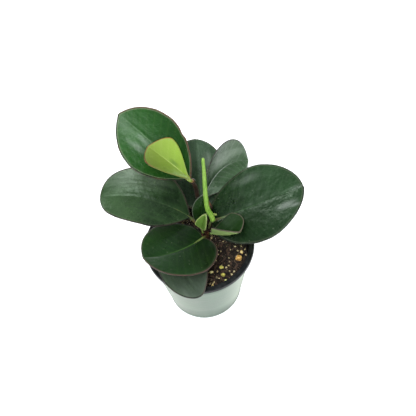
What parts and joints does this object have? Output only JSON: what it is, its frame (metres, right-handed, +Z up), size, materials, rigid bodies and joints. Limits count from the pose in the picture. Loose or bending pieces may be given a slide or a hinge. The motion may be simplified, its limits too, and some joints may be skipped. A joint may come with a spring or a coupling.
{
  "type": "potted peperomia",
  "caption": "Small peperomia house plant with broad leathery oval leaves and a slim green flower spike, in a dark nursery pot set in a tapered pale green cover pot.",
  "frame": {"origin": "centre of the flat underside of the cover pot, on the surface it stands on", "axes": "+Z up along the pots' common axis; -Y is the plant's front, where a leaf hangs over the rim and the bare soil shows; +X is to the right seen from the front, towards the broadest leaf"},
  "size_m": [0.1372, 0.1221, 0.1464],
  "materials": {
    "cover_pot": "satin moulded",
    "nursery_pot": "satin moulded",
    "soil": "loose peat and bark",
    "granules": "rough, dry",
    "stem": "satin",
    "flower_spike": "satin, finely grooved",
    "leaves": "waxy gloss",
    "young_leaves": "waxy gloss"
  },
  "bodies": {
    "root": {"cover_pot": "cover_pot", "nursery_pot": "nursery_pot", "soil": "soil", "granule_large": "granules", "granule_rim": "granules", "granule_front": "granules", "granule_yellow": "granules", "granule_low": "granules", "granule_left": "granules", "granule_right": "granules", "granule_edge": "granules", "granule_grey": "granules", "stem": "stem", "flower_spike": "flower_spike", "bud": "flower_spike", "leaf_upper_left": "leaves", "leaf_youngest": "young_leaves", "leaf_left": "leaves", "leaf_front_left": "leaves", "leaf_over_rim": "leaves", "leaf_right": "leaves", "leaf_back_right": "leaves", "leaf_back": "leaves", "leaf_folded": "leaves", "leaf_centre": "leaves", "leaf_unfolding": "young_leaves"}
  },
  "joints": []
}
